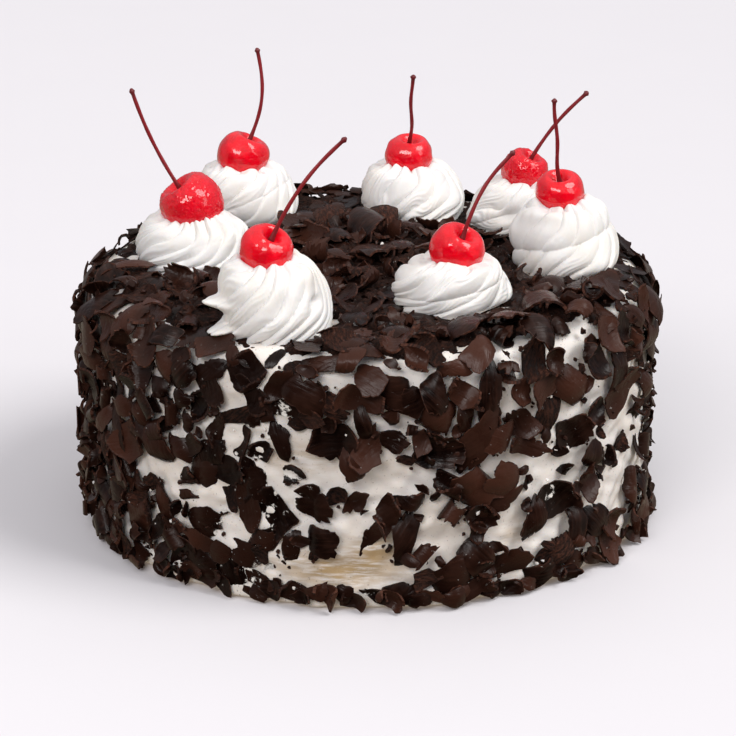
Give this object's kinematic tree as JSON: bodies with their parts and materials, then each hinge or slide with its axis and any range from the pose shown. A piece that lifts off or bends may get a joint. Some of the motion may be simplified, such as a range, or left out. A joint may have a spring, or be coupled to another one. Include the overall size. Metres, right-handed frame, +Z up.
{
  "type": "black forest cake",
  "caption": "Round black forest cake: a cream coat, dark chocolate shavings on its side and top, and a ring of piped cream rosettes with a stemmed red cherry on each.",
  "frame": {"origin": "centre of the cake's flat base", "axes": "+Z up through the cake's middle, -Y towards the front that shows bare cream between the shavings, +X to that front's right"},
  "size_m": [0.2075, 0.2045, 0.1529],
  "materials": {
    "cream": "soft whipped cream, faintly moist",
    "chocolate": "dark chocolate shavings with a dull sheen",
    "cherry": "glossy bright red glazed fruit",
    "stem": "dry dark red-brown fruit stem"
  },
  "bodies": {
    "root": {"cake": "chocolate", "rosette_1": "cream", "rosette_2": "cream", "rosette_3": "cream", "rosette_4": "cream", "rosette_5": "cream", "rosette_6": "cream", "rosette_7": "cream", "cherry_1": "cherry", "cherry_2": "cherry", "cherry_3": "cherry", "cherry_4": "cherry", "cherry_5": "cherry", "cherry_6": "cherry", "cherry_7": "cherry", "stem_1": "stem", "stem_2": "stem", "stem_3": "stem", "stem_4": "stem", "stem_5": "stem", "stem_6": "stem", "stem_7": "stem"}
  },
  "joints": []
}
